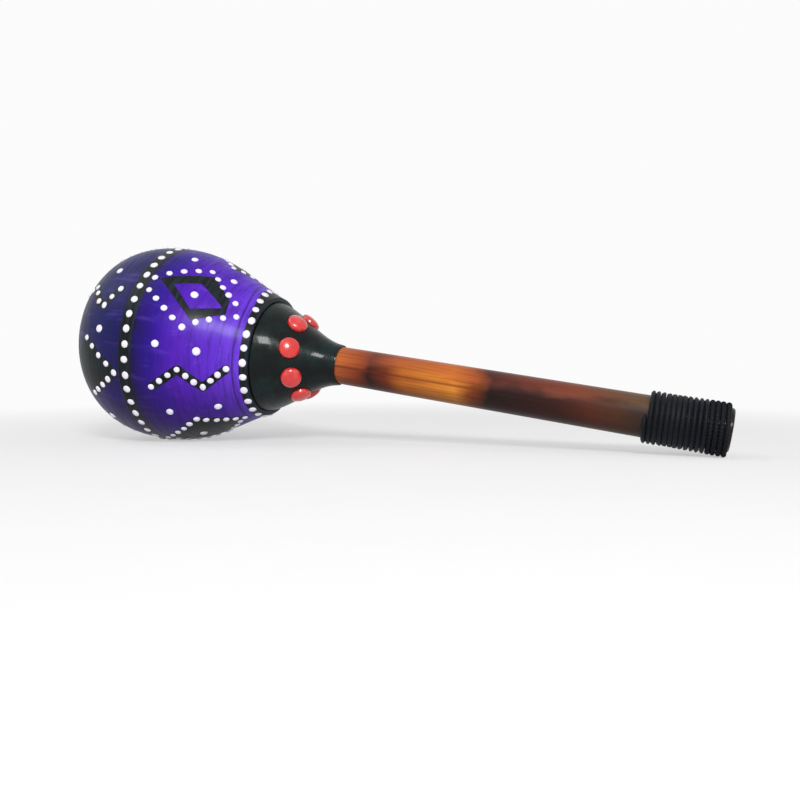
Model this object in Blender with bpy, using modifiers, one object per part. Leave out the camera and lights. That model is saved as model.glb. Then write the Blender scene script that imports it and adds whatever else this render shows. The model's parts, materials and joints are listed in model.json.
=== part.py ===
"""Gourd maraca: a hollow calabash head on a bamboo handle.

The maraca is modelled upright, with its local Z along the handle towards the
crown and its local origin where the bamboo leaves the neck cone. One empty
then lays it on its side, the way it rests on a table. Sizes are in metres.
"""
import bpy
import bmesh
from math import asin, atan2, cos, floor, pi, radians, sin, sqrt
from mathutils import Matrix, Vector

# Gourd head: heights run from the cone's foot, where the bamboo comes out
CROWN_HEIGHT = 0.1277
BELLY_HEIGHT = 0.0845
BELLY_RADIUS = 0.0461
CROWN_SQUARENESS = 2.47
MOUTH_HEIGHT = 0.0340
MOUTH_RADIUS = 0.0276
MOUTH_CHAMFER = 0.0005
SHOULDER_PULL = 0.0220
MOUTH_PULL = 0.0150
MOUTH_SLOPE = radians(19.0)
GOURD_WALL = 0.0030
HEAD_LEAN = radians(2.0)

# Neck cone: a hollow plug in the gourd's mouth that carries the bamboo
CONE_STEP = 0.0020
CONE_SLOPE = radians(16.6)
CONE_PULL = 0.0112
CONE_FOOT_PULL = 0.0112
CONE_LIP = 0.0005
SPIGOT_LENGTH = 0.0080
SPIGOT_WALL = 0.0040
DISH_HEIGHT = 0.0220
BOSS_WALL = 0.0035

# Bamboo handle
HANDLE_LENGTH = 0.1695
CANE_NECK_RADIUS = 0.0085
CANE_BUTT_RADIUS = 0.00905
CANE_BORE_RADIUS = 0.0045
CANE_STUB = 0.0060
SEPTUM_THICKNESS = 0.0040
CANE_CHAMFER = 0.0006

# Cord winding round the butt
CORD_DIAMETER = 0.0016
CORD_PITCH = 0.0021
WRAP_LENGTH = 0.0333
WRAP_SETBACK = 0.0004
LOOP_POINTS = 24

# Red cabochons let into the neck cone
STUD_COUNT = 8
STUD_HEIGHT = 0.0186
STUD_RING_RISE = 0.0020
STUD_RADIUS = 0.0048
STUD_DOME = 0.0024
STUD_SEAT_DEPTH = 0.0010
FIRST_STUD_ANGLE = radians(26.5)

# Loose seeds in the head
SEED_ROWS = 3
SEEDS_PER_ROW = 5
SEED_LENGTH = 0.0076
SEED_WIDTH = 0.0056
SEED_THICKNESS = 0.0046
SEED_PITCH = 0.0092
SEED_BED_SHIFT = 0.0060
SEED_TURN = radians(137.5)
TRAVEL_STEP = 0.0005

# Gaps between pieces that touch or seat
FIT_GAP = 0.0003
SEED_GAP = 0.0004

# Facets
HEAD_STEPS = 48
CANE_STEPS = 32
STUD_STEPS = 16
MERGE = 0.00001


def clear_scene():
    """Remove every object that the scene holds."""
    for item in list(bpy.data.objects):
        bpy.data.objects.remove(item, do_unlink=True)


def new_collection(name):
    """Add a collection to the scene."""
    collection = bpy.data.collections.new(name)
    bpy.context.scene.collection.children.link(collection)
    return collection


def new_material(name, colour, roughness):
    """A plain finish, with linear colour values."""
    material = bpy.data.materials.new(name)
    material.use_nodes = True
    shader = material.node_tree.nodes["Principled BSDF"]
    shader.inputs["Base Color"].default_value = (*colour, 1.0)
    shader.inputs["Roughness"].default_value = roughness
    shader.inputs["Metallic"].default_value = 0.0
    return material


def new_object(name, data, collection, parent, material=None):
    """Put an object in its collection, under its parent."""
    item = bpy.data.objects.new(name, data)
    collection.objects.link(item)
    item.parent = parent
    if material:
        data.materials.append(material)
    return item


def hide_cutter(item):
    """Mark an object as a cutter."""
    item.hide_render = True
    item.display_type = "WIRE"


def bezier(start, start_pull, end_pull, end, count):
    """Points of one Bezier curve, both ends included."""
    points = []
    for step in range(count + 1):
        t = step / count
        weights = ((1 - t) ** 3, 3 * (1 - t) ** 2 * t, 3 * (1 - t) * t ** 2, t ** 3)
        corners = (start, start_pull, end_pull, end)
        radius = sum(w * corner[0] for w, corner in zip(weights, corners))
        height = sum(w * corner[1] for w, corner in zip(weights, corners))
        points.append((radius, height))
    return points


def crown_arc(inset, count):
    """A quarter of a superellipse, from the crown's tip to the belly."""
    depth = CROWN_HEIGHT - BELLY_HEIGHT - inset
    power = 2 / CROWN_SQUARENESS
    points = []
    for step in range(count + 1):
        angle = pi / 2 * step / count
        radius = (BELLY_RADIUS - inset) * max(sin(angle), 0.0) ** power
        height = BELLY_HEIGHT + depth * max(cos(angle), 0.0) ** power
        points.append((radius, height))
    return points


def gourd_curve(inset, count):
    """The gourd's profile from crown to mouth, moved in by a wall's inset."""
    belly = (BELLY_RADIUS - inset, BELLY_HEIGHT)
    below_belly = (belly[0], BELLY_HEIGHT - SHOULDER_PULL)
    mouth = (MOUTH_RADIUS - inset, MOUTH_HEIGHT)
    above_mouth = (
        mouth[0] + MOUTH_PULL * sin(MOUTH_SLOPE),
        mouth[1] + MOUTH_PULL * cos(MOUTH_SLOPE),
    )
    shoulder = bezier(belly, below_belly, above_mouth, mouth, count)
    return crown_arc(inset, count) + shoulder[1:]


def cane_radius(height):
    """The bamboo widens evenly from the cone's foot to the butt."""
    share = -height / HANDLE_LENGTH
    return CANE_NECK_RADIUS + (CANE_BUTT_RADIUS - CANE_NECK_RADIUS) * share


def cone_curve(count):
    """The neck cone's outer profile, from the gourd's mouth to the foot."""
    top = (MOUTH_RADIUS - CONE_STEP, MOUTH_HEIGHT - FIT_GAP)
    below_top = (
        top[0] - CONE_PULL * sin(CONE_SLOPE),
        top[1] - CONE_PULL * cos(CONE_SLOPE),
    )
    foot = (cane_radius(0.0) + FIT_GAP + CONE_LIP, 0.0)
    above_foot = (foot[0] + CONE_LIP, CONE_FOOT_PULL)
    return bezier(top, below_top, above_foot, foot, count)


def radius_at(profile, height):
    """Radius of a profile at a height, by straight steps between points."""
    for upper, lower in zip(profile, profile[1:]):
        if lower[1] <= height <= upper[1]:
            share = (height - lower[1]) / max(upper[1] - lower[1], 1e-9)
            return lower[0] + (upper[0] - lower[0]) * share
    return 0.0


def slope_at(profile, height):
    """How fast a profile's radius grows with height."""
    reach = CONE_LIP
    return (radius_at(profile, height + reach) - radius_at(profile, height - reach)) / (2 * reach)


def turned(name, profile, steps, collection, parent, material=None):
    """Spin a profile of (radius, height) points about local Z."""
    mesh = bpy.data.meshes.new(name)
    outline = bmesh.new()
    corners = [outline.verts.new((radius, 0.0, height)) for radius, height in profile]
    for first, second in zip(corners, corners[1:]):
        outline.edges.new((first, second))
    outline.to_mesh(mesh)
    outline.free()
    item = new_object(name, mesh, collection, parent, material)
    screw = item.modifiers.new("turn", "SCREW")
    screw.axis = "Z"
    screw.angle = 2 * pi
    screw.steps = steps
    screw.render_steps = steps
    screw.use_merge_vertices = True
    screw.merge_threshold = MERGE
    screw.use_smooth_shade = True
    return item


def build_gourd(collection, parent, material):
    """Dried calabash shell, cut open at the neck end."""
    outer = gourd_curve(0.0, 12)
    inner = gourd_curve(GOURD_WALL, 9)
    rim_height = MOUTH_HEIGHT + MOUTH_CHAMFER
    rim = [(radius_at(outer, rim_height), rim_height), (MOUTH_RADIUS - MOUTH_CHAMFER, MOUTH_HEIGHT)]
    profile = outer[:-1] + rim + inner[::-1]
    return turned("gourd_shell", profile, HEAD_STEPS, collection, parent, material)


def build_cone(collection, cutters, parent, material, bore_parent):
    """Hollow neck cone with a spigot, a bore for the bamboo and eight seats."""
    spigot_radius = MOUTH_RADIUS - GOURD_WALL - FIT_GAP
    dish_radius = spigot_radius - SPIGOT_WALL
    rim_height = MOUTH_HEIGHT + SPIGOT_LENGTH
    floor_radius = CANE_NECK_RADIUS + FIT_GAP + BOSS_WALL
    dish = bezier(
        (floor_radius, DISH_HEIGHT),
        (dish_radius, DISH_HEIGHT),
        (dish_radius, DISH_HEIGHT + SPIGOT_LENGTH),
        (dish_radius, MOUTH_HEIGHT),
        5,
    )
    outer = cone_curve(12)
    foot_radius = outer[-1][0]
    profile = [(0.0, DISH_HEIGHT)] + dish
    profile += [(dish_radius, rim_height), (spigot_radius, rim_height)]
    profile += [(spigot_radius, MOUTH_HEIGHT - FIT_GAP)] + outer[:-1]
    profile += [(foot_radius, CONE_LIP), (foot_radius - CONE_LIP / 2, 0.0), (0.0, 0.0)]
    cone = turned("neck_cone", profile, HEAD_STEPS, collection, parent, material)

    bore_top = DISH_HEIGHT + SPIGOT_LENGTH
    bore_profile = [(0.0, bore_top)]
    for height in (bore_top, -SPIGOT_LENGTH):
        bore_profile.append((cane_radius(height) + FIT_GAP, height))
    bore_profile.append((0.0, -SPIGOT_LENGTH))
    bore = turned("bore_cutter", bore_profile, CANE_STEPS, cutters, bore_parent)
    hide_cutter(bore)
    cut = cone.modifiers.new("bore", "BOOLEAN")
    cut.operation = "DIFFERENCE"
    cut.object = bore

    seats = build_seat_cutter(cutters, parent, outer)
    cut = cone.modifiers.new("seats", "BOOLEAN")
    cut.operation = "DIFFERENCE"
    cut.object = seats
    return cone


def stud_places(outer):
    """Matrices of the stud seats: origin on the cone, local Z along its normal."""
    places = []
    for index in range(STUD_COUNT):
        around = -FIRST_STUD_ANGLE - index * 2 * pi / STUD_COUNT
        height = STUD_HEIGHT + STUD_RING_RISE * cos(around)
        tip_down = atan2(slope_at(outer, height), 1.0)
        spin = Matrix.Rotation(around, 4, "Z")
        out = Matrix.Translation((radius_at(outer, height), 0.0, height))
        face = Matrix.Rotation(pi / 2 + tip_down, 4, "Y")
        places.append(spin @ out @ face)
    return places


def build_seat_cutter(cutters, parent, outer):
    """One mesh of round plugs that cut the shallow stud seats."""
    plugs = bmesh.new()
    depth = 2 * STUD_SEAT_DEPTH + 2 * STUD_DOME
    lift = Matrix.Translation((0.0, 0.0, depth / 2 - STUD_SEAT_DEPTH))
    for place in stud_places(outer):
        bmesh.ops.create_cone(
            plugs,
            cap_ends=True,
            segments=STUD_STEPS,
            radius1=STUD_RADIUS + FIT_GAP,
            radius2=STUD_RADIUS + FIT_GAP,
            depth=depth,
            matrix=place @ lift,
        )
    mesh = bpy.data.meshes.new("seat_cutter")
    plugs.to_mesh(mesh)
    plugs.free()
    cutter = new_object("seat_cutter", mesh, cutters, parent)
    hide_cutter(cutter)
    return cutter


def build_studs(collection, parent, material):
    """Eight low domes, each on the floor of its seat."""
    floor_height = FIT_GAP - STUD_SEAT_DEPTH
    dome_base = STUD_DOME / 4
    dome = []
    for step in range(5):
        angle = pi / 2 * step / 4
        dome.append((STUD_RADIUS * sin(angle), dome_base + (STUD_DOME - dome_base) * cos(angle)))
    profile = dome + [(STUD_RADIUS, floor_height), (0.0, floor_height)]
    for index, place in enumerate(stud_places(cone_curve(12)), 1):
        stud = turned(f"red_stud_{index}", profile, STUD_STEPS, collection, parent, material)
        stud.matrix_local = place


def build_handle(collection, parent, material):
    """Bamboo cane, hollow from the butt up to the natural wall at its top."""
    top = DISH_HEIGHT + CANE_STUB
    septum = top - SEPTUM_THICKNESS
    butt = -HANDLE_LENGTH
    profile = [
        (0.0, top),
        (cane_radius(top) - CANE_CHAMFER, top),
        (cane_radius(top), top - CANE_CHAMFER),
        (cane_radius(0.0), 0.0),
        (CANE_BUTT_RADIUS, butt + CANE_CHAMFER),
        (CANE_BUTT_RADIUS - CANE_CHAMFER, butt),
        (CANE_BORE_RADIUS, butt),
        (CANE_BORE_RADIUS, septum - CANE_BORE_RADIUS / 2),
        (CANE_BORE_RADIUS * 0.7, septum - CANE_BORE_RADIUS / 8),
        (0.0, septum),
    ]
    return turned("bamboo_handle", profile, CANE_STEPS, collection, parent, material)


def wrap_points():
    """The winding's centre line: one helix with a short straight lead at each end."""
    last = -HANDLE_LENGTH + WRAP_SETBACK + CORD_DIAMETER / 2
    turns = floor((WRAP_LENGTH - CORD_DIAMETER) / CORD_PITCH)
    count = turns * LOOP_POINTS
    points = []
    for step in range(count + 1):
        angle = 2 * pi * step / LOOP_POINTS
        height = last + CORD_PITCH * (turns - step / LOOP_POINTS)
        radius = cane_radius(height) + FIT_GAP + CORD_DIAMETER / 2
        points.append(Vector((radius * cos(angle), radius * sin(angle), height)))
    lead_in = points[0] + (points[0] - points[1]).normalized() * CORD_DIAMETER
    lead_out = points[-1] + (points[-1] - points[-2]).normalized() * CORD_DIAMETER
    return [lead_in] + points + [lead_out]


def least_gap(points):
    """Least clear distance between turns, measured point to point."""
    skip = LOOP_POINTS // 2
    nearest = min(
        (points[first] - points[second]).length
        for first in range(len(points))
        for second in range(first + skip, min(first + 2 * LOOP_POINTS, len(points)))
    )
    return nearest - CORD_DIAMETER


def build_wrap(collection, parent, material):
    """Cord wound in one layer round the butt of the bamboo."""
    points = wrap_points()
    print(f"cord_wrap: least gap to itself {least_gap(points) * 1000:.2f} mm")
    curve = bpy.data.curves.new("cord_wrap", "CURVE")
    curve.dimensions = "3D"
    curve.bevel_depth = CORD_DIAMETER / 2
    curve.bevel_resolution = 1
    curve.use_fill_caps = True
    line = curve.splines.new("POLY")
    line.points.add(len(points) - 1)
    for point, place in zip(line.points, points):
        point.co = (*place, 1.0)
    return new_object("cord_wrap", curve, collection, parent, material)


def wall_distance(chamber, point):
    """Distance from a point in the head to the chamber's wall, seen square on."""
    height = point.z
    slope = slope_at(chamber, height)
    off_axis = sqrt(point.x ** 2 + point.y ** 2)
    return (radius_at(chamber, height) - off_axis) / sqrt(1 + slope ** 2)


def seed_travel(chamber, rest, up):
    """How far a seed can fly up before it meets the far wall."""
    reach = SEED_LENGTH / 2 + SEED_GAP
    travel = -rest.x
    while wall_distance(chamber, rest + up * (travel + TRAVEL_STEP)) > reach:
        travel += TRAVEL_STEP
    return floor(travel / TRAVEL_STEP) * TRAVEL_STEP


def build_seeds(collection, parent, material, tilt):
    """Flat seeds lying side by side on the low wall of the chamber."""
    chamber = gourd_curve(GOURD_WALL, 40)
    up = Vector((cos(tilt), 0.0, sin(tilt)))
    sizes = (SEED_LENGTH / 2, SEED_WIDTH / 2, SEED_THICKNESS / 2)
    mesh = bpy.data.meshes.new("rattle_seed")
    ball = bmesh.new()
    shape = Matrix.Diagonal((*sizes, 1.0))
    bmesh.ops.create_uvsphere(ball, u_segments=10, v_segments=6, radius=1.0, matrix=shape)
    ball.to_mesh(mesh)
    ball.free()
    mesh.shade_smooth()
    mesh.materials.append(material)
    count = 0
    for row in range(SEED_ROWS):
        height = BELLY_HEIGHT - SEED_BED_SHIFT + (row - (SEED_ROWS - 1) / 2) * SEED_PITCH
        wall = radius_at(chamber, height)
        lean = atan2(slope_at(chamber, height), 1.0)
        for place in range(SEEDS_PER_ROW):
            count += 1
            side = (place - (SEEDS_PER_ROW - 1) / 2) * SEED_PITCH
            around = pi - asin(side / wall)
            lift = (sizes[2] + SEED_GAP) * sqrt(1 + slope_at(chamber, height) ** 2)
            spin = Matrix.Rotation(around, 4, "Z")
            out = Matrix.Translation((wall - lift, 0.0, height))
            face = Matrix.Rotation(pi / 2 + lean, 4, "Y")
            turn = Matrix.Rotation(SEED_TURN * count, 4, "Z")
            seed = bpy.data.objects.new(f"rattle_seed_{count:02d}", mesh)
            collection.objects.link(seed)
            seed.parent = parent
            rest = spin @ out @ face @ turn
            seed.matrix_local = rest
            travel = seed_travel(chamber, rest.translation, up)
            print(f"{seed.name}: free travel {travel * 1000:.1f} mm")


def rest_tilt():
    """Tilt of the handle at which belly and last turn of cord share one floor."""
    head = gourd_curve(0.0, 40)
    wrap_height = -HANDLE_LENGTH + WRAP_SETBACK + CORD_DIAMETER / 2
    wrap_radius = cane_radius(wrap_height) + FIT_GAP + CORD_DIAMETER
    low = 0.0
    high = pi / 4
    for _ in range(50):
        tilt = (low + high) / 2
        head_tilt = tilt - HEAD_LEAN
        belly = min(z * sin(head_tilt) - r * cos(head_tilt) for r, z in head)
        butt = wrap_height * sin(tilt) - wrap_radius * cos(tilt)
        if belly < butt:
            low = tilt
        else:
            high = tilt
    return (low + high) / 2


def seat_on_floor(collection, root):
    """Move the laid maraca so that its box stands centred on the origin."""
    bpy.context.view_layer.update()
    graph = bpy.context.evaluated_depsgraph_get()
    corners = []
    for item in collection.objects:
        if item.type == "EMPTY":
            continue
        solid = item.evaluated_get(graph)
        mesh = solid.to_mesh()
        corners += [item.matrix_world @ corner.co for corner in mesh.vertices]
        solid.to_mesh_clear()
    for axis in range(2):
        values = [corner[axis] for corner in corners]
        root.location[axis] -= (min(values) + max(values)) / 2
    root.location[2] -= min(corner[2] for corner in corners)
    bpy.context.view_layer.update()


def main():
    """Build the maraca and lay it down."""
    clear_scene()
    parts = new_collection("gourd_maraca")
    cutters = new_collection("cutters")
    paint = new_material("painted_gourd", (0.055, 0.012, 0.24), 0.35)
    lacquer = new_material("black_lacquer", (0.006, 0.010, 0.010), 0.25)
    bamboo = new_material("scorched_bamboo", (0.36, 0.10, 0.025), 0.30)
    cord = new_material("waxed_cord", (0.008, 0.008, 0.010), 0.55)
    resin = new_material("red_resin", (0.75, 0.040, 0.030), 0.25)
    seed = new_material("dried_seed", (0.20, 0.085, 0.030), 0.60)

    tilt = rest_tilt()
    root = new_object("maraca_axis", None, parts, None)
    root.rotation_euler = (0.0, tilt - pi / 2, 0.0)
    head = new_object("head_axis", None, parts, root)
    head.rotation_euler = (0.0, -HEAD_LEAN, 0.0)

    build_gourd(parts, head, paint)
    build_cone(parts, cutters, head, lacquer, root)
    build_studs(parts, head, resin)
    build_handle(parts, root, bamboo)
    build_wrap(parts, root, cord)
    build_seeds(parts, head, seed, tilt - HEAD_LEAN)
    seat_on_floor(parts, root)


main()
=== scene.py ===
"""Looks of the gourd maraca: painted calabash, lacquered neck cone, scorched bamboo and cord.

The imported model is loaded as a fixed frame. Sizes are in metres unless a name or a comment says
otherwise. A place on the head is a height above the cone's foot, in millimetres, and a turn about
the head's axis in degrees, where 0 is the top side as the maraca lies and 90 is the camera's side.
"""
import json
import random
from math import atan2, cos, pi, radians, sin

import bmesh
import bpy
import numpy as np
from bpy.props import FloatProperty, FloatVectorProperty, IntProperty, PointerProperty
from mathutils import Matrix, Vector

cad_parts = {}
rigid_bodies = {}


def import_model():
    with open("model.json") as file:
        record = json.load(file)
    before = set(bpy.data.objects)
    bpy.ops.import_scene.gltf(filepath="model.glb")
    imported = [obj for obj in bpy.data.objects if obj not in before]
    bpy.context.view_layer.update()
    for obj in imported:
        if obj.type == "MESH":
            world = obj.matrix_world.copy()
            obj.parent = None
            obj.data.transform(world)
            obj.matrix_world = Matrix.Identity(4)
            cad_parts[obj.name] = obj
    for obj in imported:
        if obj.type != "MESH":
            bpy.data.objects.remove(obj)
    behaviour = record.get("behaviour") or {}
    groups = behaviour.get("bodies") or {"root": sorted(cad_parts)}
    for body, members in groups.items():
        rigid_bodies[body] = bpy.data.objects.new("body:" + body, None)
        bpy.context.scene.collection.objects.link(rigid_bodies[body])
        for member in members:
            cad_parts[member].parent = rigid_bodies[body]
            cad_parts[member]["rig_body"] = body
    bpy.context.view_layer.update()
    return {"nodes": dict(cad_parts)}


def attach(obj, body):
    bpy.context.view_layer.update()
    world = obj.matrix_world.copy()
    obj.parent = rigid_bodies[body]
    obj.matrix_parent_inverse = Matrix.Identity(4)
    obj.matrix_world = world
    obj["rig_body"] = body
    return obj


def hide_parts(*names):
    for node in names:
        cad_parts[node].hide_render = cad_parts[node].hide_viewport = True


bl_info = {
    "name": "Gourd Maraca",
    "version": (1, 0, 0),
    "blender": (4, 5, 0),
    "location": "View3D > Sidebar > Maraca",
    "description": "Dresses a gourd maraca: painted head, neck cone, studs, bamboo and cord",
    "category": "Object",
}

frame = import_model()

# Where the head and the cane stand: both axes pass through the cone's foot
CONE_FOOT = Vector((-0.020631, 0.0, 0.036278))
HEAD_TILT = radians(6.702)
CANE_TILT = radians(8.702)

# Gourd profile
CROWN_HEIGHT = 0.1277
BELLY_HEIGHT = 0.0845
BELLY_RADIUS = 0.0461
CROWN_SQUARENESS = 2.47
MOUTH_HEIGHT = 0.0340
MOUTH_RADIUS = 0.0276
SHOULDER_PULL = 0.0220
MOUTH_PULL = 0.0150
MOUTH_SLOPE = radians(19.0)
GOURD_WALL = 0.0030

# Steps of the gourd's mesh: round the head, and along each curve of the skin and of the chamber
HEAD_STEPS = 256
SKIN_STEPS = 72
CHAMBER_STEPS = 9

# Bamboo and winding
HANDLE_LENGTH = 0.1695
CANE_BUTT_RADIUS = 0.00905
WRAP_SETBACK = 0.0004
WRAP_TURNS = 15.4
WRAP_FIRST_ANGLE = radians(135)
WRAP_STEPS_PER_TURN = 150
WRAP_TUCK_STEPS = 12

# Where the cord's middle lies, in diameters: up from the first edge, and out from the cane
CORD_FIRST_LIFT = 0.4
CORD_SEAT = 0.45

# Unevenness of the turns: a share of the pitch along the cane, and metres out from it
CORD_SWAY_ALONG = 0.07
CORD_SWAY_OUT = 0.00006
CORD_SEED = 11

# Section of the twisted cord, and the length in which its strands go round once
CORD_CORNERS = 12
CORD_STRANDS = 3
CORD_GROOVE = 0.12
CORD_TWIST_LENGTH = 0.0042

# Mesh points nearer than this are one point, and edges sharper than these stay sharp
MERGE = 0.00001
SHARP_EDGE = radians(35)
SHARP_STUD_EDGE = radians(50)

# The ring of dots at the mouth climbs on one side: heights in mm, the turn in degrees
MOUTH_RING_HEIGHT = 35.8
MOUTH_RING_CLIMB = 4.6
MOUTH_RING_CLIMB_TURN = -15
MOUTH_RING_CLIMB_POWER = 4

# A dark seam runs round the gourd beside that ring
SEAM_ABOVE_RING = 0.0040

# Painted motifs on the belly, as corners of (height in mm, turn in degrees)
BELLY_RING_HEIGHT = 84.3
LOZENGE_OUTER = ((77.5, 48.6), (57.4, 31.8), (47.0, 46.0), (46.0, 58.5), (58.0, 70.5))
LOZENGE_INNER = ((70.0, 50.3), (59.9, 42.8), (47.9, 54.5), (59.5, 63.4))
LOZENGE_DOTS = ((79.5, 49.0), (59.8, 28.1), (44.7, 46.1), (41.9, 57.2), (60.4, 75.8), (79.2, 57.8))
LOZENGE_EYE = (60.0, 52.9)
ZIGZAG = ((72.2, 113.5), (60.9, 102.4), (51.6, 115.6), (42.2, 102.2))
DARK_LOZENGE = ((78.0, 161.0), (58.2, 142.3), (41.4, 161.0), (57.5, 187.0))
DARK_LOZENGE_EYE = (61.0, 163.0)
BELLY_SINGLES = ((70.4, 23.8), (50.7, 25.4), (70.2, 88.0), (53.6, 89.8), (67.1, 131.9), (47.8, 135.3))

# Painted motifs on the crown
CHEVRON = ((107.1, 89.9), (90.1, 107.3), (106.0, 125.5))
CHEVRON_FILL = ((107.1, 89.9), (90.1, 107.3), (106.0, 125.5), (117.0, 107.0))
SMALL_ZIGZAG = ((93.4, 59.0), (99.6, 69.6), (104.0, 67.0), (110.0, 55.3), (117.1, 57.0))
WIDE_CHEVRON = ((109.0, 26.5), (90.8, 3.0), (109.0, -20.5))
CROWN_SINGLES = ((100.4, 44.8), (99.0, 83.7), (101.1, 142.8))

# Rows of dots on the motifs, as (corners, pitch in metres, closed)
DOT_ROWS = (
    (LOZENGE_DOTS, 0.0060, True),
    (ZIGZAG, 0.0047, False),
    (DARK_LOZENGE, 0.0050, True),
    (CHEVRON, 0.0055, False),
    (SMALL_ZIGZAG, 0.0048, False),
    (WIDE_CHEVRON, 0.0056, False),
)

# Turns in degrees of the first dot in each ring
FIRST_BELLY_DOT = 4.8
FIRST_MOUTH_DOT = 3.0

# Unevenness of the dots set by hand: shares of their size, and a nudge along the skin
DOT_WIDTHS = (0.90, 1.14)
DOT_LENGTHS = (0.92, 1.08)
DOT_NUDGE = 0.0002
DOT_SEED = 7
DOT_SEGMENTS = 12
DOT_RINGS = 8

# How far the black reaches past a filled motif's corners and under the mouth's dots, as shares
FILL_REACH = 0.6
RIM_REACH = 0.45

# The photograph's camera
FOCAL_PIXELS = 873.0
PHOTO_PIXELS = 800.0
SENSOR_WIDTH_MM = 36.0
NEAREST_SEEN = 0.01
CAMERA_PLACE = Vector((0.13032, -0.37158, 0.03959))
CAMERA_AZIMUTH = radians(-18.305)
CAMERA_ELEVATION = radians(2.743)

# Lights as (name, place, width, watts), the point they face, and the strength of the world
LIGHTS = (
    ("key", (0.34, -0.70, 0.50), 0.22, 5.6),
    ("fill", (-0.60, -0.30, 0.75), 0.6, 1.6),
)
LIGHT_AIM = (-0.04, 0.0, 0.04)
WORLD_STRENGTH = 0.32

# Floor sweep: flat from near to far, then a bend up into a wall
FLOOR_HALF_WIDTH = 5.0
FLOOR_NEAR = -4.0
FLOOR_FAR = 1.6
FLOOR_BEND = 1.2
FLOOR_BEND_STEPS = 12
FLOOR_TOP = 3.6

# The background shows as this white, on the floor from one distance and fully from the next
WHITE = (1.0, 1.0, 1.0)
WHITE_STRENGTH = 0.97
WHITE_FROM = 0.16
WHITE_FULL = 0.45
WHITE_NEAR_SHARE = 0.5

# How far a finish's colours wander off a straight line along a piece
WANDER = 0.008

# Sockets of Blender's Mix node when it mixes colours: share, lower and upper colour, result
SHARE = 0
LOWER = 6
UPPER = 7
MIXED = 2


def linear(code):
    """Linear RGB from an sRGB hex code such as 5219B2."""
    parts = [int(code[index:index + 2], 16) / 255 for index in (0, 2, 4)]
    return tuple(c / 12.92 if c <= 0.04045 else ((c + 0.055) / 1.055) ** 2.4 for c in parts)


def axis_frame(tilt):
    """Frame on the cone's foot: local Z towards the crown, local X on the top side."""
    side = Vector((sin(tilt), 0.0, cos(tilt)))
    across = Vector((0.0, 1.0, 0.0))
    along = Vector((-cos(tilt), 0.0, sin(tilt)))
    matrix = Matrix((side, across, along)).transposed().to_4x4()
    return Matrix.Translation(CONE_FOOT) @ matrix


HEAD = axis_frame(HEAD_TILT)
CANE = axis_frame(CANE_TILT)


class MaracaSizes(bpy.types.PropertyGroup):
    """Sizes of the paint work and the winding."""

    ring_dot: FloatProperty(
        name="Ring dot", description="Diameter of a dot in the two rings", default=0.0034, unit="LENGTH")
    motif_dot: FloatProperty(
        name="Motif dot", description="Diameter of a dot along a motif", default=0.0029, unit="LENGTH")
    single_dot: FloatProperty(
        name="Single dot", description="Diameter of a dot on its own", default=0.0034, unit="LENGTH")
    dot_rise: FloatProperty(
        name="Dot rise", description="How far a dot stands off the gourd", default=0.0007, unit="LENGTH")
    stroke: FloatProperty(
        name="Stroke", description="Width of a black painted line", default=0.0040, unit="LENGTH")
    ring_band: FloatProperty(
        name="Ring band", description="Width of the black band at the belly", default=0.0064,
        unit="LENGTH")
    belly_ring_dots: IntProperty(name="Belly ring dots", description="Dots round the belly", default=42)
    mouth_ring_dots: IntProperty(name="Mouth ring dots", description="Dots round the mouth", default=27)
    cord: FloatProperty(
        name="Cord", description="Diameter of the waxed cord", default=0.0022, unit="LENGTH")
    cord_pitch: FloatProperty(
        name="Cord pitch", description="Spacing of the winding's turns", default=0.0021, unit="LENGTH")


class MaracaColours(bpy.types.PropertyGroup):
    """Colours of the finishes."""

    violet: FloatVectorProperty(
        name="Violet", description="Brushed violet at the belly", subtype="COLOR",
        default=linear("5219B2"))
    # Lilac near the mouth: the paint's own colour, in part a painted highlight
    lilac: FloatVectorProperty(
        name="Lilac", description="Thin violet near the mouth", subtype="COLOR",
        default=linear("7340DA"))
    ink: FloatVectorProperty(
        name="Black", description="Black paint of bands and motifs", subtype="COLOR",
        default=linear("070C0D"))
    white: FloatVectorProperty(
        name="White", description="White dots", subtype="COLOR", default=linear("F4F1FA"))
    coral: FloatVectorProperty(
        name="Coral", description="Red studs", subtype="COLOR", default=linear("D42422"))
    cord: FloatVectorProperty(
        name="Cord", description="Waxed cord", subtype="COLOR", default=linear("06070A"))


def superellipse(inset, count):
    """Profile points of (radius, height) from the crown's tip to the belly."""
    depth = CROWN_HEIGHT - BELLY_HEIGHT - inset
    power = 2 / CROWN_SQUARENESS
    points = []
    for step in range(count + 1):
        angle = pi / 2 * step / count
        radius = (BELLY_RADIUS - inset) * max(sin(angle), 0.0) ** power
        height = BELLY_HEIGHT + depth * max(cos(angle), 0.0) ** power
        points.append((radius, height))
    return points


def bezier(corners, count):
    """Points of one Bezier curve over four corners."""
    points = []
    for step in range(count + 1):
        t = step / count
        weights = ((1 - t) ** 3, 3 * (1 - t) ** 2 * t, 3 * (1 - t) * t ** 2, t ** 3)
        radius = sum(weight * corner[0] for weight, corner in zip(weights, corners))
        height = sum(weight * corner[1] for weight, corner in zip(weights, corners))
        points.append((radius, height))
    return points


def gourd_profile(inset, count):
    """The gourd's profile from crown to mouth, moved in by a wall's inset."""
    belly = (BELLY_RADIUS - inset, BELLY_HEIGHT)
    below_belly = (belly[0], BELLY_HEIGHT - SHOULDER_PULL)
    mouth = (MOUTH_RADIUS - inset, MOUTH_HEIGHT)
    above_mouth = (mouth[0] + MOUTH_PULL * sin(MOUTH_SLOPE), mouth[1] + MOUTH_PULL * cos(MOUTH_SLOPE))
    shoulder = bezier((belly, below_belly, above_mouth, mouth), count)
    return superellipse(inset, count) + shoulder[1:]


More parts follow.
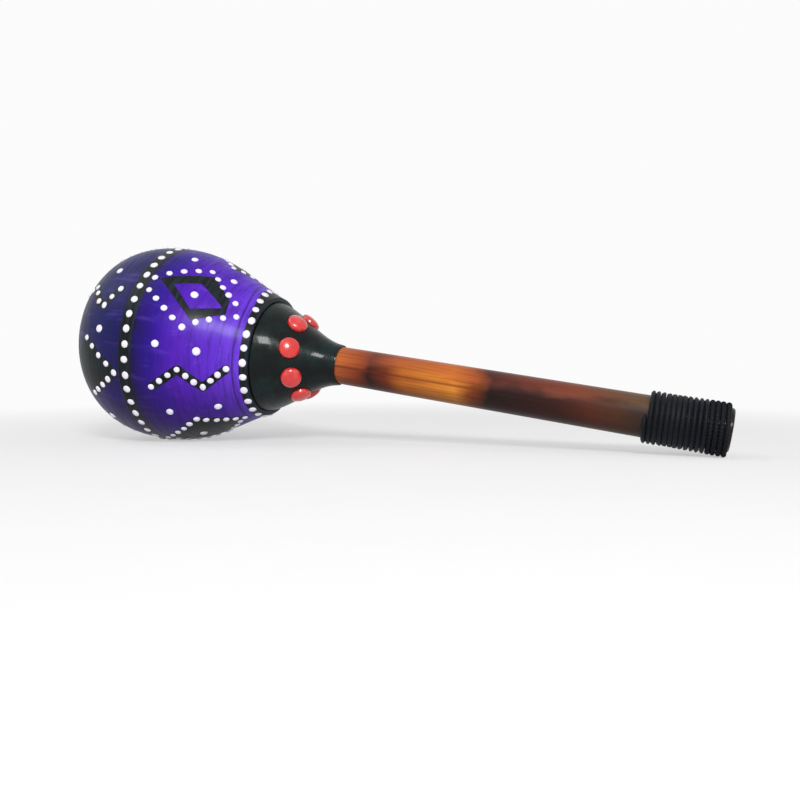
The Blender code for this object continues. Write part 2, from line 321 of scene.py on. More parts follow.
PROFILE = np.array(gourd_profile(0.0, SKIN_STEPS)[::-1])
PROFILE_STEP_LENGTHS = np.hypot(*np.diff(PROFILE, axis=0).T)
PROFILE_ARC = np.concatenate(([0.0], np.cumsum(PROFILE_STEP_LENGTHS)))


def gourd_radius(height):
    """Outer radius of the gourd at a height in metres."""
    return np.interp(height, PROFILE[:, 1], PROFILE[:, 0])


def gourd_arc(height):
    """Length along the gourd's skin from the mouth up to a height in metres."""
    return np.interp(height, PROFILE[:, 1], PROFILE_ARC)


def flat(place, middle_turn):
    """A place on the head laid flat, in metres, about a middle turn in degrees."""
    height = place[0] / 1000
    turn = (place[1] - middle_turn + 180) % 360 - 180
    return np.array((radians(turn) * gourd_radius(height), gourd_arc(height)))


def mouth_ring_height(turn):
    """Height in mm of the ring at the mouth, which climbs a little on the top side."""
    side = np.maximum(np.cos(np.radians(turn - MOUTH_RING_CLIMB_TURN)), 0.0)
    return MOUTH_RING_HEIGHT + MOUTH_RING_CLIMB * side ** MOUTH_RING_CLIMB_POWER


def both_sides(places):
    """A motif's corners, and the same motif turned half round the head."""
    return (places, tuple((height, turn + 180) for height, turn in places))


def turns_of(local):
    """Every vertex's turn about the head's axis, in degrees."""
    return np.degrees(np.arctan2(-local[:, 1], local[:, 0]))


def skin_heights_of(local):
    """Every vertex's height on the gourd's skin."""
    return np.clip(local[:, 2], MOUTH_HEIGHT, CROWN_HEIGHT)


def new_object(name, build, material):
    """Put a bmesh in a new object at the origin."""
    mesh = bpy.data.meshes.new(name)
    build.to_mesh(mesh)
    build.free()
    item = bpy.data.objects.new(name, mesh)
    bpy.context.scene.collection.objects.link(item)
    mesh.materials.append(material)
    return item


def smooth_all(build):
    """Shade every face smooth."""
    for face in build.faces:
        face.smooth = True


def store_values(item, name, kind, field, values):
    """Keep one value per vertex as an attribute that a material reads."""
    attribute = item.data.attributes.new(name, kind, "POINT")
    attribute.data.foreach_set(field, values.astype(np.float32).ravel())


def store_places(item, place_frame, name):
    """Keep each vertex's place in the head's or the cane's frame as an attribute, and return them."""
    inverse = np.array(place_frame.inverted())
    places = np.zeros(len(item.data.vertices) * 3)
    item.data.vertices.foreach_get("co", places)
    local = places.reshape(-1, 3) @ inverse[:3, :3].T + inverse[:3, 3]
    store_values(item, name, "FLOAT_VECTOR", "vector", local)
    return local


def polyline_distance(spots, corners, closed):
    """Distance from flat spots to a line through corners, and whether they lie inside it."""
    far_away = 1000.0
    level = 1e-9
    best = np.full(len(spots), far_away)
    inside = np.zeros(len(spots), bool)
    pairs = list(zip(corners, corners[1:]))
    if closed:
        pairs.append((corners[-1], corners[0]))
    for start, end in pairs:
        edge = end - start
        share = np.clip(((spots - start) @ edge) / (edge @ edge), 0, 1)
        best = np.minimum(best, np.linalg.norm(spots - start - share[:, None] * edge, axis=1))
        crosses = (start[1] > spots[:, 1]) != (end[1] > spots[:, 1])
        rise = edge[1] if abs(edge[1]) > level else level
        where = start[0] + (spots[:, 1] - start[1]) * edge[0] / rise
        inside ^= crosses & (spots[:, 0] < where)
    return best, inside


def motif_distance(local, places, closed=False):
    """Distance from every vertex to a motif: below zero inside a closed one."""
    middle = sum(turn for height, turn in places) / len(places)
    wrapped = np.radians((turns_of(local) - middle + 180) % 360 - 180)
    heights = skin_heights_of(local)
    spots = np.column_stack((wrapped * gourd_radius(heights), gourd_arc(heights)))
    corners = [flat(place, middle) for place in places]
    distance, inside = polyline_distance(spots, corners, closed)
    if closed:
        distance = np.where(inside, -distance, distance)
    return distance


def ink_distance(local, sizes):
    """Distance from every vertex to the black paint, below zero inside it."""
    half_stroke = sizes.stroke / 2
    arcs = gourd_arc(skin_heights_of(local))
    rim = mouth_ring_height(turns_of(local)) / 1000
    ink = np.abs(arcs - gourd_arc(BELLY_RING_HEIGHT / 1000)) - sizes.ring_band / 2
    ink = np.minimum(ink, arcs - gourd_arc(rim) - sizes.ring_dot * RIM_REACH)
    for outer, inner in zip(both_sides(LOZENGE_OUTER), both_sides(LOZENGE_INNER)):
        border = np.maximum(motif_distance(local, outer, True), -motif_distance(local, inner, True))
        ink = np.minimum(ink, border)
    for filled in both_sides(DARK_LOZENGE) + both_sides(CHEVRON_FILL):
        ink = np.minimum(ink, motif_distance(local, filled, True) - half_stroke * FILL_REACH)
    for line in both_sides(ZIGZAG) + both_sides(SMALL_ZIGZAG) + both_sides(CHEVRON):
        ink = np.minimum(ink, motif_distance(local, line) - half_stroke)
    return ink


def dots_along(places, pitch, closed=False):
    """Places of dots at an even pitch along a motif, one on each corner."""
    middle = sum(turn for height, turn in places) / len(places)
    corners = list(places) + ([places[0]] if closed else [])
    spots = []
    for start, end in zip(corners, corners[1:]):
        length = np.linalg.norm(flat(end, middle) - flat(start, middle))
        count = max(1, round(length / pitch))
        for step in range(count):
            share = step / count
            spots.append(tuple(a + (b - a) * share for a, b in zip(start, end)))
    if not closed:
        spots.append(corners[-1])
    return spots


def dot_places(sizes):
    """Every white dot as (height in mm, turn in degrees, diameter)."""
    places = []
    for index in range(sizes.belly_ring_dots):
        turn = FIRST_BELLY_DOT + 360 * index / sizes.belly_ring_dots
        places.append((BELLY_RING_HEIGHT, turn, sizes.ring_dot))
    for index in range(sizes.mouth_ring_dots):
        turn = FIRST_MOUTH_DOT + 360 * index / sizes.mouth_ring_dots
        places.append((mouth_ring_height(turn), turn, sizes.ring_dot))
    for corners, pitch, closed in DOT_ROWS:
        for side in both_sides(corners):
            for height, turn in dots_along(side, pitch, closed):
                places.append((height, turn, sizes.motif_dot))
    for side in both_sides(BELLY_SINGLES + CROWN_SINGLES + (LOZENGE_EYE, DARK_LOZENGE_EYE)):
        for height, turn in side:
            places.append((height, turn, sizes.single_dot))
    return places


def seat_on_gourd(height_mm, turn):
    """Matrix on the gourd's skin: local Z outwards, local X along the skin."""
    height = height_mm / 1000
    reach = 0.0004
    slope = (gourd_radius(height + reach) - gourd_radius(height - reach)) / (2 * reach)
    out = Matrix.Translation((gourd_radius(height), 0.0, height))
    face = Matrix.Rotation(pi / 2 + atan2(slope, 1.0), 4, "Y")
    return HEAD @ Matrix.Rotation(-radians(turn), 4, "Z") @ out @ face


def smooth_copy(node, name, material, sharp):
    """A merged, smooth-shaded copy of a CAD node that stands for it."""
    source = frame["nodes"][node]
    build = bmesh.new()
    build.from_mesh(source.data)
    bmesh.ops.remove_doubles(build, verts=build.verts, dist=MERGE)
    for edge in build.edges:
        edge.smooth = edge.calc_face_angle(0.0) < sharp
    smooth_all(build)
    item = new_object(name, build, material)
    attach(item, source["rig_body"])
    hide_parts(node)
    return item


def plug(tree, node, inputs):
    """Give a node its inputs: a socket is linked, and any other value is set."""
    for key, value in inputs.items():
        socket = node.inputs[key]
        if isinstance(value, bpy.types.NodeSocket):
            tree.links.new(value, socket)
        elif socket.type == "RGBA":
            socket.default_value = (*value, 1.0)
        else:
            socket.default_value = value


def add(tree, kind, inputs, result=0, stops=(), **settings):
    """Add a node with its inputs, settings and any colour stops, and return one of its outputs."""
    node = tree.nodes.new(kind)
    for key, value in settings.items():
        setattr(node, key, value)
    plug(tree, node, inputs)
    for index, (position, colour) in enumerate(stops):
        elements = node.color_ramp.elements
        stop = elements[index] if index < 2 else elements.new(position)
        stop.position = position
        stop.color = (*colour, 1.0)
    return node.outputs[result]


def new_material(name):
    """An empty node material with the tree and the shader in it."""
    material = bpy.data.materials.new(name)
    material.use_nodes = True
    tree = material.node_tree
    return material, tree, tree.nodes["Principled BSDF"]


def grain(tree, places, across, along=None, detail=4.0):
    """Noise whose grains are so many millimetres across a piece's axis and along it."""
    scale = (1000 / across, 1000 / across, 1000 / (along or across))
    stretched = add(tree, "ShaderNodeMapping", {"Vector": places, "Scale": scale})
    inputs = {"Vector": stretched, "Scale": 1.0, "Detail": detail, "Roughness": 0.6}
    return add(tree, "ShaderNodeTexNoise", inputs, "Fac")


def lay_over(tree, lower, upper, pattern, start, end, first=0.0, last=1.0):
    """One colour over another: from its first share where a pattern is at start to its last at end."""
    inputs = {"Value": pattern, "From Min": start, "From Max": end, "To Min": first, "To Max": last}
    share = add(tree, "ShaderNodeMapRange", inputs, interpolation_type="SMOOTHSTEP")
    return add(tree, "ShaderNodeMix", {SHARE: share, LOWER: lower, UPPER: upper}, MIXED, data_type="RGBA")


def wander(tree, place, pattern):
    """A place on a piece that a pattern moves either way, so that colours meet on no straight line."""
    inputs = {0: pattern, 1: 2 * WANDER, 2: -WANDER}
    shift = add(tree, "ShaderNodeMath", inputs, operation="MULTIPLY_ADD")
    return add(tree, "ShaderNodeMath", {0: place, 1: shift}, operation="ADD")


def white_to_the_eye(tree, share, plain, kind, output):
    """Show plain white for a share of a shader, but only to the camera and in what mirrors it."""
    seen = 0.0
    for ray in ("Is Camera Ray", "Is Glossy Ray", "Is Transmission Ray"):
        from_there = add(tree, "ShaderNodeLightPath", {}, ray)
        seen = add(tree, "ShaderNodeMath", {0: seen, 1: from_there}, operation="MAXIMUM")
    shown = add(tree, "ShaderNodeMath", {0: share, 1: seen}, operation="MULTIPLY")
    white = add(tree, kind, {"Color": WHITE, "Strength": WHITE_STRENGTH})
    mixed = add(tree, "ShaderNodeMixShader", {0: shown, 1: plain, 2: white})
    plug(tree, tree.nodes[output], {"Surface": mixed})


def painted_gourd(colours):
    """Violet and black acrylic brushed on dried calabash, under a thin satin lacquer.

    The eye sees brush streaks round the head, a ground that goes from lilac at the mouth, in part a
    painted highlight, to blue-black at the crown, painted shade on the underside, and black motifs
    with slightly ragged edges that stand a little proud.
    """
    material, tree, shader = new_material("brushed violet paint on gourd")
    places = add(tree, "ShaderNodeAttribute", {}, "Vector", attribute_name="head_place")
    ink = add(tree, "ShaderNodeAttribute", {}, "Fac", attribute_name="ink")
    seam = add(tree, "ShaderNodeAttribute", {}, "Fac", attribute_name="seam")
    side = add(tree, "ShaderNodeSeparateXYZ", {"Vector": places}, "X")
    height = add(tree, "ShaderNodeSeparateXYZ", {"Vector": places}, "Z")

    # Ground: lilac at the mouth, in part a painted highlight, going darker towards the crown
    patches = grain(tree, places, across=38.5, along=48.1, detail=2.0)
    share = add(tree, "ShaderNodeMapRange", {
        "Value": wander(tree, height, patches), "From Min": MOUTH_HEIGHT, "From Max": CROWN_HEIGHT,
    })
    ground = add(tree, "ShaderNodeValToRGB", {"Fac": share}, stops=(
        (0.00, colours.lilac), (0.14, linear("5F2AC8")), (0.30, colours.violet),
        (0.41, linear("2E0C90")), (0.50, linear("12063C")), (0.58, linear("141250")),
        (0.72, linear("161C52")), (0.86, linear("0D1C2E")), (1.00, linear("08141A")),
    ))

    # Brush: bristle marks of about 0.3 mm are drawn at 1.6 mm to show, and long strokes cross them
    streaks = grain(tree, places, across=14.3, along=1.587)
    long_streaks = grain(tree, places, across=3.33, along=23.8)
    blotches = grain(tree, places, across=18.2, detail=3.0)
    deep = lay_over(tree, ground, linear("200A62"), streaks, start=0.42, end=0.72, last=0.45)
    streaked = lay_over(tree, deep, linear("7A5CE0"), long_streaks, start=0.5, end=0.8, last=0.22)
    # Painted shade: the ground darkens towards the underside of the head
    shaded = lay_over(tree, streaked, linear("24064A"), side, start=-0.042, end=0.0, first=0.78, last=0.0)
    blotched = lay_over(tree, shaded, linear("240A78"), blotches, start=0.50, end=0.75, last=0.5)

    # Seam: a dark line and a shallow groove beside the mouth's ring of dots
    seam_mask = add(tree, "ShaderNodeMapRange", {
        "Value": seam, "From Min": 0.00015, "From Max": 0.0006, "To Min": 0.75, "To Max": 0.0,
    }, interpolation_type="SMOOTHSTEP")
    seam_inputs = {SHARE: seam_mask, LOWER: blotched, UPPER: linear("1E0C55")}
    seamed = add(tree, "ShaderNodeMix", seam_inputs, MIXED, data_type="RGBA")

    # Black: bristles leave the edge of a stroke ragged by up to 0.6 mm
    ragged = grain(tree, places, across=1.43)
    edge = add(tree, "ShaderNodeMath", {0: ragged, 1: 0.0006, 2: ink}, operation="MULTIPLY_ADD")
    mask = add(tree, "ShaderNodeMapRange", {
        "Value": edge, "From Min": 0.00015, "From Max": 0.00045, "To Min": 1.0, "To Max": 0.0,
    }, interpolation_type="SMOOTHSTEP")
    black = lay_over(tree, colours.ink, linear("1C2730"), streaks, start=0.4, end=0.7)
    paint = add(tree, "ShaderNodeMix", {SHARE: mask, LOWER: seamed, UPPER: black}, MIXED, data_type="RGBA")

    # Relief: the black coat over the bristle marks, less the seam's groove
    coats = add(tree, "ShaderNodeMath", {0: mask, 1: 0.8, 2: streaks}, operation="MULTIPLY_ADD")
    relief = add(tree, "ShaderNodeMath", {0: coats, 1: seam_mask}, operation="SUBTRACT")
    satin = add(tree, "ShaderNodeMapRange", {
        "Value": streaks, "From Min": 0.3, "From Max": 0.7, "To Min": 0.34, "To Max": 0.50,
    }, interpolation_type="SMOOTHSTEP")
    plug(tree, shader, {
        "Base Color": paint,
        "Roughness": satin,
        "Specular IOR Level": 0.12,
        "Coat Weight": 0.08,
        "Coat Roughness": 0.18,
        "Normal": add(tree, "ShaderNodeBump", {"Height": relief, "Distance": 0.00018, "Strength": 0.8}),
    })
    return material


def black_lacquer():
    """Black lacquer with a green cast, brushed on turned wood.

    The eye sees a hard gloss whose highlights break up over fine turning ridges.
    """
    material, tree, shader = new_material("gloss black lacquer on turned wood")
    places = add(tree, "ShaderNodeAttribute", {}, "Vector", attribute_name="head_place")
    patches = grain(tree, places, across=11.1)
    colour = lay_over(tree, linear("050C0B"), linear("0C2222"), patches, start=0.4, end=0.75)
    gloss = add(tree, "ShaderNodeMapRange", {
        "Value": patches, "From Min": 0.3, "From Max": 0.7, "To Min": 0.20, "To Max": 0.34,
    }, interpolation_type="SMOOTHSTEP")

    # Ridges that a turning tool leaves every 0.3 mm are drawn at 0.9 mm to show
    ridges = grain(tree, places, across=18.5, along=0.926)
    plug(tree, shader, {
        "Base Color": colour,
        "Roughness": gloss,
        "Specular IOR Level": 0.1,
        "Coat Weight": 0.2,
        "Coat Roughness": 0.10,
        "Normal": add(tree, "ShaderNodeBump", {"Height": ridges, "Distance": 0.00035, "Strength": 0.9}),
    })
    return material


def scorched_bamboo():
    """Cane scorched by a flame and varnished.

    The eye sees orange cane between brown-black burns, with a painted reflection along its top and
    painted shade that leaves it darkest underneath, with lengthwise fibre and a brown line along the
    side of its first third.
    """
    material, tree, shader = new_material("scorched and varnished bamboo")
    places = add(tree, "ShaderNodeAttribute", {}, "Vector", attribute_name="cane_place")
    side = add(tree, "ShaderNodeSeparateXYZ", {"Vector": places}, "X")
    height = add(tree, "ShaderNodeSeparateXYZ", {"Vector": places}, "Z")

    # Burns: colours by the share of the way from the cone's foot to the butt, one ramp for the top side
    # with a painted reflection over the burns, and one for the underside with painted shade
    flame = grain(tree, places, across=16.7, along=33.3, detail=3.0)
    share = add(tree, "ShaderNodeMapRange", {
        "Value": wander(tree, height, flame), "From Min": 0.0, "From Max": -HANDLE_LENGTH,
    })
    # Top side: the burns' colours, mostly lighter as a painted reflection
    above = add(tree, "ShaderNodeValToRGB", {"Fac": share}, stops=(
        (0.00, linear("B8622F")), (0.06, linear("A04A22")), (0.10, linear("6E3426")),
        (0.18, linear("B05A2C")), (0.32, linear("C46A2C")), (0.38, linear("A04E24")),
        (0.42, linear("482018")), (0.52, linear("6A3226")), (0.64, linear("7A3C28")),
        (0.72, linear("6A402C")), (0.80, linear("5E4632")), (0.87, linear("120C0A")),
        (1.00, linear("120C0A")),
    ))
    # Underside: the burns' colours, mostly darker as painted shade
    below = add(tree, "ShaderNodeValToRGB", {"Fac": share}, stops=(
        (0.00, linear("A8552A")), (0.05, linear("8A3A18")), (0.095, linear("240B06")),
        (0.15, linear("6A2A10")), (0.20, linear("B0601E")), (0.33, linear("D8862E")),
        (0.38, linear("7E3A12")), (0.42, linear("120604")), (0.52, linear("220A06")),
        (0.60, linear("30100A")), (0.68, linear("4E2010")), (0.74, linear("462614")),
        (0.80, linear("30201A")), (0.87, linear("120C0A")), (1.00, linear("120C0A")),
    ))
    # Painted light and shade: the lighter top ramp meets the darker underside ramp at the cane's mid
    # height
    burns_lit_and_shaded = lay_over(tree, below, above, wander(tree, side, flame), start=0.0002, end=0.0042)

    # Fibre: strands of about 0.3 mm are drawn at 0.8 mm to show
    fibre = grain(tree, places, across=0.794, along=31.7)
    fibred = lay_over(tree, burns_lit_and_shaded, linear("3A1508"), fibre, start=0.45, end=0.75, last=0.45)
    # Painted shade: the cane darkens towards its underside
    shaded = lay_over(tree, fibred, linear("260C05"), side, start=-0.0085, end=-0.002, first=0.6, last=0.0)

    # Line: it runs along each side of the cane at mid height, and fades out past its first third
    off_line = add(tree, "ShaderNodeMath", {0: side}, operation="ABSOLUTE")
    line = add(tree, "ShaderNodeMapRange", {
        "Value": off_line, "From Min": 0.0002, "From Max": 0.0009, "To Min": 0.6, "To Max": 0.0,
    }, interpolation_type="SMOOTHSTEP")
    reach = add(tree, "ShaderNodeMapRange", {
        "Value": share, "From Min": 0.34, "From Max": 0.42, "To Min": 1.0, "To Max": 0.0,
    }, interpolation_type="SMOOTHSTEP")
    line_share = add(tree, "ShaderNodeMath", {0: line, 1: reach}, operation="MULTIPLY")
    line_inputs = {SHARE: line_share, LOWER: shaded, UPPER: linear("5E1E0C")}
    plug(tree, shader, {
        "Base Color": add(tree, "ShaderNodeMix", line_inputs, MIXED, data_type="RGBA"),
        "Roughness": 0.40,
        "Specular IOR Level": 0.12,
        "Coat Weight": 0.16,
        "Coat Roughness": 0.12,
        "Normal": add(tree, "ShaderNodeBump", {"Height": fibre, "Distance": 0.00012, "Strength": 0.6}),
    })
    return material


def waxed_cord(colours):
    """Black waxed twine: the eye sees dull fibre with a faint blue sheen on its lit side."""
    material, tree, shader = new_material("black waxed twine")
    places = add(tree, "ShaderNodeTexCoord", {}, "Object")

    # Lint of about 0.02 mm is drawn at 0.56 mm to show
    lint = grain(tree, places, across=0.556)
    plug(tree, shader, {
        "Base Color": lay_over(tree, colours.cord, linear("141820"), lint, start=0.4, end=0.75),
        "Roughness": 0.55,
        "Specular IOR Level": 0.15,
        "Sheen Weight": 0.05,
        "Sheen Tint": linear("9FB0D0"),
        "Normal": add(tree, "ShaderNodeBump", {"Height": lint, "Distance": 0.0001, "Strength": 0.6}),
    })
    return material


def white_dot_paint(colours):
    """Thick white acrylic set down in drops: the eye sees satin, faintly lilac where it is thin."""
    material, tree, shader = new_material("thick white acrylic drops")
    places = add(tree, "ShaderNodeTexCoord", {}, "Object")
    cloud = grain(tree, places, across=3.33)
    thin = lay_over(tree, colours.white, linear("DCD4F0"), cloud, start=0.45, end=0.8, last=0.5)
    plug(tree, shader, {"Base Color": thin, "Roughness": 0.4})
    return material


def coral_resin(colours):
    """Cast coral-red resin: the eye sees high gloss, a little paler where the dome is thin."""
    material, tree, shader = new_material("cast coral resin")
    places = add(tree, "ShaderNodeTexCoord", {}, "Object")
    cloud = grain(tree, places, across=3.85)
    plug(tree, shader, {
        "Base Color": lay_over(tree, colours.coral, linear("E64A46"), cloud, start=0.45, end=0.8),
        "Roughness": 0.28,
        "Coat Weight": 0.6,
        "Coat Roughness": 0.06,
        "Normal": add(tree, "ShaderNodeBump", {"Height": cloud, "Distance": 0.0002, "Strength": 0.5}),
    })
    return material


def dried_seed():
    """Dry seed coat: the eye sees matt brown with pale flecks."""
    material, tree, shader = new_material("dry brown seed coat")
    places = add(tree, "ShaderNodeTexCoord", {}, "Object")
    flecks = grain(tree, places, across=1.11)
    plug(tree, shader, {
        "Base Color": lay_over(tree, linear("6A4426"), linear("A07A4C"), flecks, start=0.45, end=0.7),
        "Roughness": 0.65,
        "Normal": add(tree, "ShaderNodeBump", {"Height": flecks, "Distance": 0.0001, "Strength": 0.6}),
    })
    return material


def studio_sweep():
    """Matt white studio sweep, which shows as plain white away from the maraca and its shadow."""
    material, tree, shader = new_material("matt white studio sweep")
    places = add(tree, "ShaderNodeTexCoord", {}, "Object")
    patches = grain(tree, places, across=25.0)
    plug(tree, shader, {
        "Base Color": lay_over(tree, linear("F6F6F6"), linear("F8F8F8"), patches, start=0.3, end=0.7),
        "Roughness": 0.9,
    })
    distance = add(tree, "ShaderNodeVectorMath", {0: places}, "Value", operation="LENGTH")
    far_share = add(tree, "ShaderNodeMapRange", {
        "Value": distance, "From Min": WHITE_FROM, "From Max": WHITE_FULL, "To Min": WHITE_NEAR_SHARE,
    }, interpolation_type="SMOOTHSTEP")
    white_to_the_eye(tree, far_share, shader.outputs[0], "ShaderNodeEmission", "Material Output")
    return material


class MARACA_OT_gourd(bpy.types.Operator):
    """Spin the calabash shell and store its paint distances"""

    bl_idname = "maraca.gourd"
    bl_label = "Painted gourd"

    def execute(self, context):
        profile = gourd_profile(0.0, SKIN_STEPS) + gourd_profile(GOURD_WALL, CHAMBER_STEPS)[::-1]
        build = bmesh.new()
        corners = [build.verts.new((radius, 0.0, height)) for radius, height in profile]
        edges = [build.edges.new(pair) for pair in zip(corners, corners[1:])]
        bmesh.ops.spin(build, geom=corners + edges, cent=(0, 0, 0), axis=(0, 0, 1), dvec=(0, 0, 0),
                       angle=2 * pi, steps=HEAD_STEPS, use_merge=True)
        bmesh.ops.remove_doubles(build, verts=build.verts, dist=MERGE)
        bmesh.ops.recalc_face_normals(build, faces=build.faces)
        bmesh.ops.transform(build, matrix=HEAD, verts=build.verts)
        smooth_all(build)
        gourd = new_object("painted_gourd", build, painted_gourd(context.scene.maraca_colours))
        local = store_places(gourd, HEAD, "head_place")
        store_values(gourd, "ink", "FLOAT", "value", ink_distance(local, context.scene.maraca_sizes))
        seam_height = mouth_ring_height(turns_of(local)) / 1000 + SEAM_ABOVE_RING
        store_values(gourd, "seam", "FLOAT", "value", np.abs(local[:, 2] - seam_height))
        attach(gourd, "maraca")
        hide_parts("gourd_shell")
        return {"FINISHED"}


class MARACA_OT_dots(bpy.types.Operator):
    """Set the raised white dots on the gourd"""

    bl_idname = "maraca.dots"
    bl_label = "White dots"

    def execute(self, context):
        sizes = context.scene.maraca_sizes
        hand = random.Random(DOT_SEED)
        build = bmesh.new()
        for height, turn, diameter in dot_places(sizes):
            wide = diameter / 2 * hand.uniform(*DOT_WIDTHS)
            tall = diameter / 2 * hand.uniform(*DOT_LENGTHS)
            along = hand.uniform(-DOT_NUDGE, DOT_NUDGE)
            across = hand.uniform(-DOT_NUDGE, DOT_NUDGE)
            nudge = Matrix.Translation((along, across, 0.0))
            shape = Matrix.Diagonal((tall, wide, sizes.dot_rise, 1.0))
            place = seat_on_gourd(height, turn) @ nudge @ shape
            bmesh.ops.create_uvsphere(build, u_segments=DOT_SEGMENTS, v_segments=DOT_RINGS, radius=1.0,
                                      matrix=place)
        smooth_all(build)
        dots = new_object("white_dots", build, white_dot_paint(context.scene.maraca_colours))
        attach(dots, "maraca")
        return {"FINISHED"}


class MARACA_OT_cone(bpy.types.Operator):
    """Lacquer the neck cone"""

    bl_idname = "maraca.cone"
    bl_label = "Neck cone"

    def execute(self, context):
        cone = smooth_copy("neck_cone", "lacquered_cone", black_lacquer(), SHARP_EDGE)
        store_places(cone, HEAD, "head_place")
        return {"FINISHED"}


class MARACA_OT_studs(bpy.types.Operator):
    """Finish the red studs"""

    bl_idname = "maraca.studs"
    bl_label = "Red studs"

    def execute(self, context):
        material = coral_resin(context.scene.maraca_colours)
        for node in sorted(frame["nodes"]):
            if node.startswith("red_stud_"):
                stud = smooth_copy(node, node.replace("red", "coral"), material, SHARP_STUD_EDGE)
        return {"FINISHED"}


class MARACA_OT_handle(bpy.types.Operator):
    """Scorch and varnish the bamboo handle"""

    bl_idname = "maraca.handle"
    bl_label = "Bamboo handle"

    def execute(self, context):
        cane = smooth_copy("bamboo_handle", "scorched_cane", scorched_bamboo(), SHARP_EDGE)
        store_places(cane, CANE, "cane_place")
        return {"FINISHED"}


class MARACA_OT_winding(bpy.types.Operator):
    """Wind the waxed cord round the butt"""

    bl_idname = "maraca.winding"
    bl_label = "Cord winding"

    def winding_points(self, sizes):
        """Points of the winding on the cane, with both ends tucked into it."""
        hand = random.Random(CORD_SEED)
        wobble = [hand.uniform(-1.0, 1.0) for turn in range(int(WRAP_TURNS) + 3)]
        total = int(WRAP_TURNS * WRAP_STEPS_PER_TURN)
        start = -HANDLE_LENGTH + WRAP_SETBACK + sizes.cord * CORD_FIRST_LIFT
        middle_radius = CANE_BUTT_RADIUS + sizes.cord * CORD_SEAT
        points = []
        for step in range(total + 1):
            turn = step / WRAP_STEPS_PER_TURN
            index = int(turn)
            sway = wobble[index] + (wobble[index + 1] - wobble[index]) * (turn - index)
            height = start + sizes.cord_pitch * (turn + CORD_SWAY_ALONG * sway)
            depth = max(0.0, 1 - min(step, total - step) / WRAP_TUCK_STEPS) * sizes.cord
            radius = middle_radius - depth + CORD_SWAY_OUT * sway
            angle = 2 * pi * turn + WRAP_FIRST_ANGLE
            points.append(CANE @ Vector((radius * cos(angle), radius * sin(angle), height)))
        return points

    def section_curve(self, cord):
        """Closed outline of the twisted cord, with a lobe for each strand."""
        data = bpy.data.curves.new("cord_section", "CURVE")
        spline = data.splines.new("POLY")
        spline.points.add(CORD_CORNERS - 1)
        for index, point in enumerate(spline.points):
            angle = 2 * pi * index / CORD_CORNERS
            radius = cord / 2 * (1 - CORD_GROOVE + CORD_GROOVE * cos(CORD_STRANDS * angle))
            point.co = (radius * cos(angle), radius * sin(angle), 0.0, 1.0)
        spline.use_cyclic_u = True
        section = bpy.data.objects.new("cord_section", data)
        bpy.context.scene.collection.objects.link(section)
        return section

    def execute(self, context):
        sizes = context.scene.maraca_sizes
        points = self.winding_points(sizes)
        data = bpy.data.curves.new("cord_path", "CURVE")
        data.dimensions = "3D"
        spline = data.splines.new("POLY")
        spline.points.add(len(points) - 1)
        run = 0.0
        for index, point in enumerate(points):
            if index:
                run += (point - points[index - 1]).length
            spline.points[index].co = (*point, 1.0)
            spline.points[index].tilt = 2 * pi * run / CORD_TWIST_LENGTH
        section = self.section_curve(sizes.cord)
        data.bevel_mode = "OBJECT"
        data.bevel_object = section
        data.use_fill_caps = True
        path = bpy.data.objects.new("cord_path", data)
        context.scene.collection.objects.link(path)
        context.view_layer.update()
        solid = path.evaluated_get(context.evaluated_depsgraph_get())
        mesh = bpy.data.meshes.new_from_object(solid)
        build = bmesh.new()
        build.from_mesh(mesh)
        bmesh.ops.remove_doubles(build, verts=build.verts, dist=MERGE)
        bmesh.ops.recalc_face_normals(build, faces=build.faces)
        smooth_all(build)
        bpy.data.objects.remove(path)
        bpy.data.objects.remove(section)
        bpy.data.meshes.remove(mesh)
        winding = new_object("cord_winding", build, waxed_cord(context.scene.maraca_colours))
        print(f"cord winding: {run:.3f} m of cord")
        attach(winding, "maraca")
        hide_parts("cord_wrap")
        return {"FINISHED"}


class MARACA_OT_seeds(bpy.types.Operator):
    """Give the loose seeds their dry coat"""

    bl_idname = "maraca.seeds"
    bl_label = "Loose seeds"

    def execute(self, context):
        material = dried_seed()
        for node, item in frame["nodes"].items():
            if node.startswith("rattle_seed_"):
                item.data.materials.clear()
                item.data.materials.append(material)
        return {"FINISHED"}


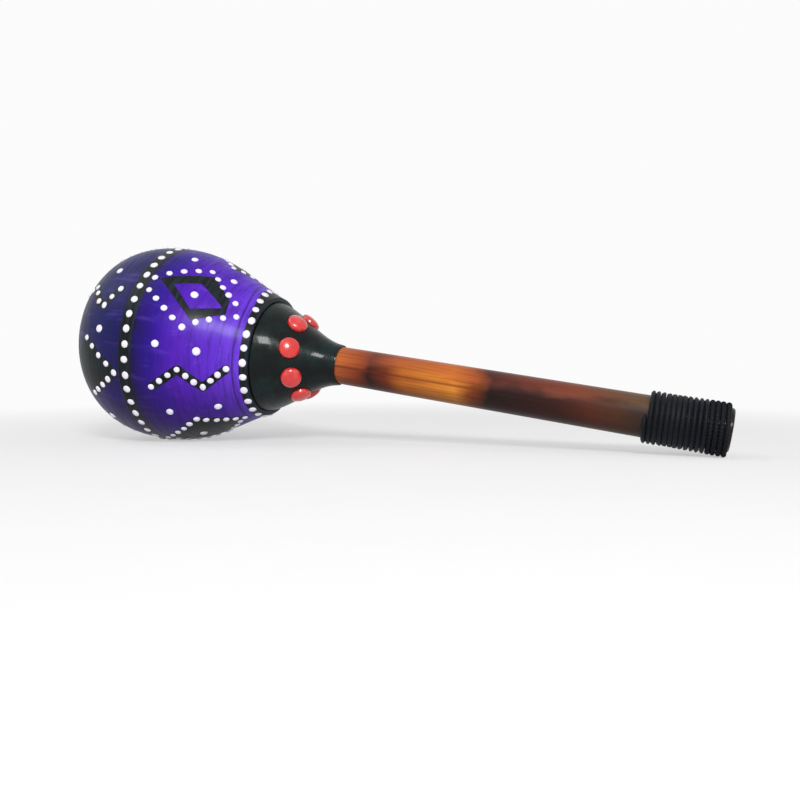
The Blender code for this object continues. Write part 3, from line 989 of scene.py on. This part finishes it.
class MARACA_OT_stage(bpy.types.Operator):
    """Lay the pale floor, and set the camera and the soft lights"""

    bl_idname = "maraca.stage"
    bl_label = "Stage"

    def floor(self):
        """Pale sweep that rises far behind the maraca, square to the camera."""
        build = bmesh.new()
        outline = [(FLOOR_NEAR, 0.0), (FLOOR_FAR, 0.0)]
        for step in range(1, FLOOR_BEND_STEPS + 1):
            angle = pi / 2 * step / FLOOR_BEND_STEPS
            outline.append((FLOOR_FAR + FLOOR_BEND * sin(angle), FLOOR_BEND * (1 - cos(angle))))
        outline.append((FLOOR_FAR + FLOOR_BEND, FLOOR_TOP))
        corners = [build.verts.new((-FLOOR_HALF_WIDTH, y, z)) for y, z in outline]
        edges = [build.edges.new(pair) for pair in zip(corners, corners[1:])]
        grown = bmesh.ops.extrude_edge_only(build, edges=edges)
        moved = [part for part in grown["geom"] if isinstance(part, bmesh.types.BMVert)]
        bmesh.ops.translate(build, vec=(2 * FLOOR_HALF_WIDTH, 0.0, 0.0), verts=moved)
        bmesh.ops.recalc_face_normals(build, faces=build.faces)
        turn = Matrix.Rotation(-CAMERA_AZIMUTH, 4, "Z")
        bmesh.ops.transform(build, matrix=turn, verts=build.verts)
        smooth_all(build)
        return new_object("floor", build, studio_sweep())

    def soft_light(self, name, place, width, watts):
        """One square area light that faces the maraca."""
        data = bpy.data.lights.new(name, "AREA")
        data.shape = "SQUARE"
        data.size = width
        data.energy = watts
        lamp = bpy.data.objects.new(name, data)
        lamp.location = place
        lamp.rotation_euler = (Vector(LIGHT_AIM) - Vector(place)).to_track_quat("-Z", "Y").to_euler()
        bpy.context.scene.collection.objects.link(lamp)

    def photo_camera(self):
        """Camera at the photograph's viewing angle."""
        data = bpy.data.cameras.new("photo_camera")
        data.sensor_width = SENSOR_WIDTH_MM
        data.lens = FOCAL_PIXELS / PHOTO_PIXELS * SENSOR_WIDTH_MM
        data.clip_start = NEAREST_SEEN
        camera = bpy.data.objects.new("photo_camera", data)
        camera.location = CAMERA_PLACE
        camera.rotation_euler = (pi / 2 - CAMERA_ELEVATION, 0.0, -CAMERA_AZIMUTH)
        bpy.context.scene.collection.objects.link(camera)
        return camera

    def studio_world(self):
        """Soft even light from all round, which the camera sees as plain white."""
        world = bpy.data.worlds.new("studio")
        world.use_nodes = True
        tree = world.node_tree
        sky = tree.nodes["Background"]
        plug(tree, sky, {"Color": WHITE, "Strength": WORLD_STRENGTH})
        white_to_the_eye(tree, 1.0, sky.outputs[0], "ShaderNodeBackground", "World Output")
        return world

    def execute(self, context):
        scene = context.scene
        self.floor()
        scene.camera = self.photo_camera()
        for light in LIGHTS:
            self.soft_light(*light)
        scene.world = self.studio_world()
        scene.view_settings.view_transform = "Standard"
        return {"FINISHED"}


class MARACA_PT_panel(bpy.types.Panel):
    """Sidebar panel that lists the maraca's pieces"""

    bl_idname = "MARACA_PT_panel"
    bl_label = "Maraca"
    bl_space_type = "VIEW_3D"
    bl_region_type = "UI"
    bl_category = "Maraca"

    def draw(self, context):
        for group in (context.scene.maraca_sizes, context.scene.maraca_colours):
            for key in group.bl_rna.properties.keys():
                if key not in ("rna_type", "name"):
                    self.layout.prop(group, key)
        for operator in OPERATORS:
            self.layout.operator(operator.bl_idname)


OPERATORS = (
    MARACA_OT_gourd, MARACA_OT_dots, MARACA_OT_cone, MARACA_OT_studs,
    MARACA_OT_handle, MARACA_OT_winding, MARACA_OT_seeds, MARACA_OT_stage,
)
CLASSES = (MaracaSizes, MaracaColours) + OPERATORS + (MARACA_PT_panel,)


def register():
    """Register the classes and hang the settings on the scene."""
    for item in CLASSES:
        bpy.utils.register_class(item)
    bpy.types.Scene.maraca_sizes = PointerProperty(type=MaracaSizes)
    bpy.types.Scene.maraca_colours = PointerProperty(type=MaracaColours)


def unregister():
    """Take the settings and the classes away again."""
    del bpy.types.Scene.maraca_colours
    del bpy.types.Scene.maraca_sizes
    for item in reversed(CLASSES):
        bpy.utils.unregister_class(item)


def main():
    """Dress the maraca."""
    register()
    for operator in OPERATORS:
        group, name = operator.bl_idname.split(".")
        getattr(getattr(bpy.ops, group), name)()


if __name__ == "__main__":
    main()
